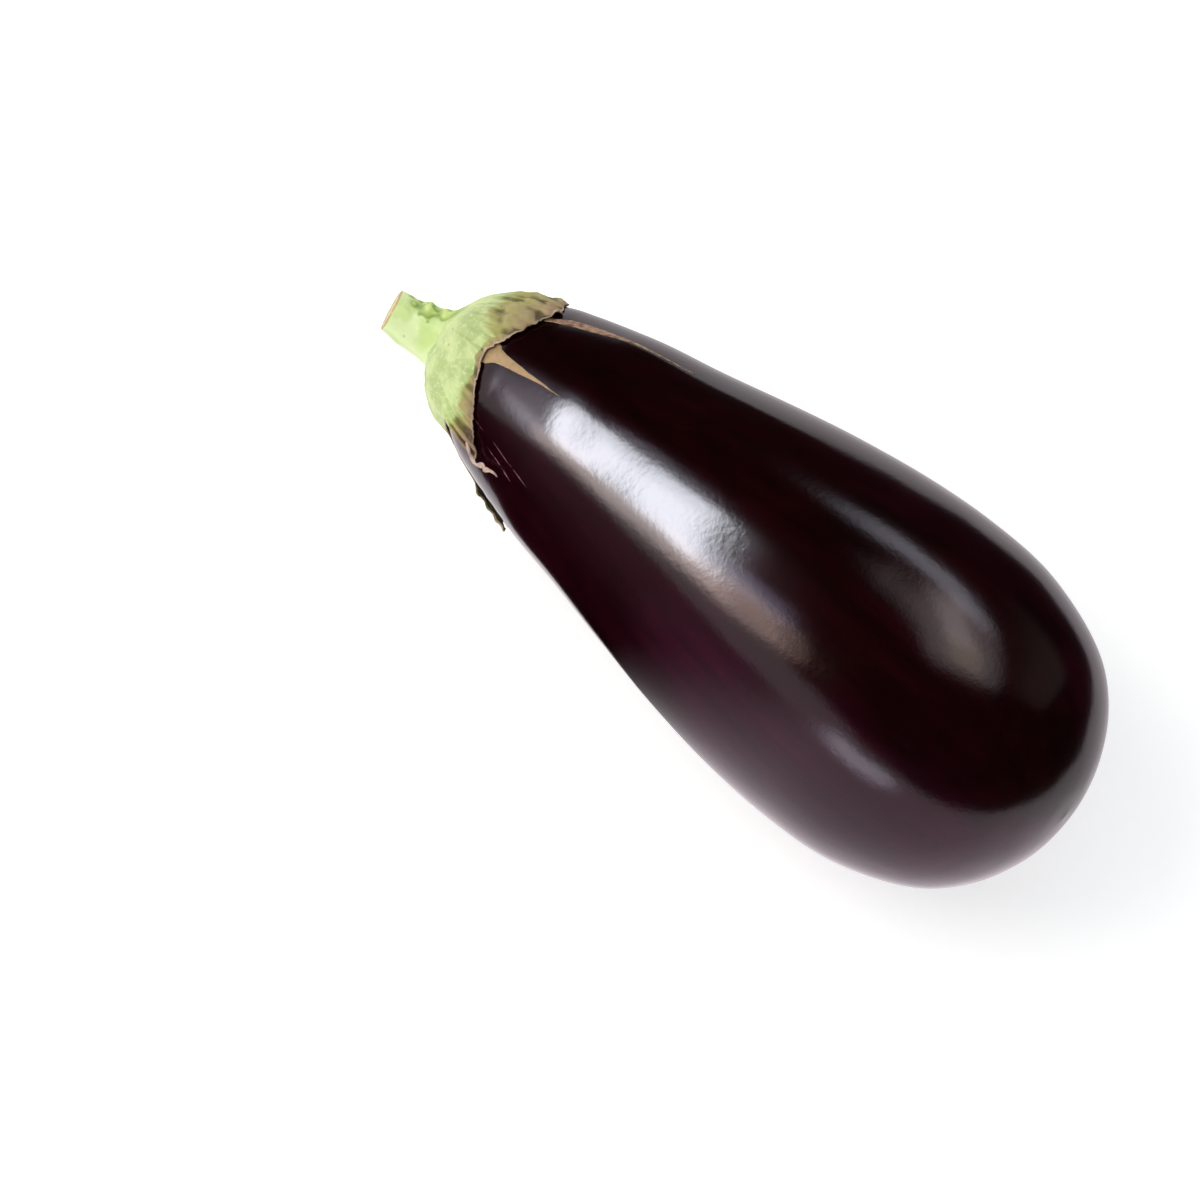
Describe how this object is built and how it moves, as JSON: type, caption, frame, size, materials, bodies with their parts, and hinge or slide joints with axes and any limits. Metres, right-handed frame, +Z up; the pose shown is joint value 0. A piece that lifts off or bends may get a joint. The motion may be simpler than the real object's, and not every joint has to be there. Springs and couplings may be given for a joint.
{
  "type": "eggplant",
  "caption": "Whole glossy dark purple eggplant with a green calyx and a short cut stem, lying on its side.",
  "frame": {"origin": "in the small flat spot of the belly that the eggplant rests on", "axes": "+X along the length towards the blossom end, -X towards the stem, +Z up"},
  "size_m": [0.2214, 0.0913, 0.0938],
  "materials": {
    "skin": "waxy glossy dark purple skin",
    "calyx": "matt pale green flesh, dry and brown along its edges"
  },
  "bodies": {
    "root": {"fruit": "skin", "calyx_and_stem": "calyx"}
  },
  "joints": []
}
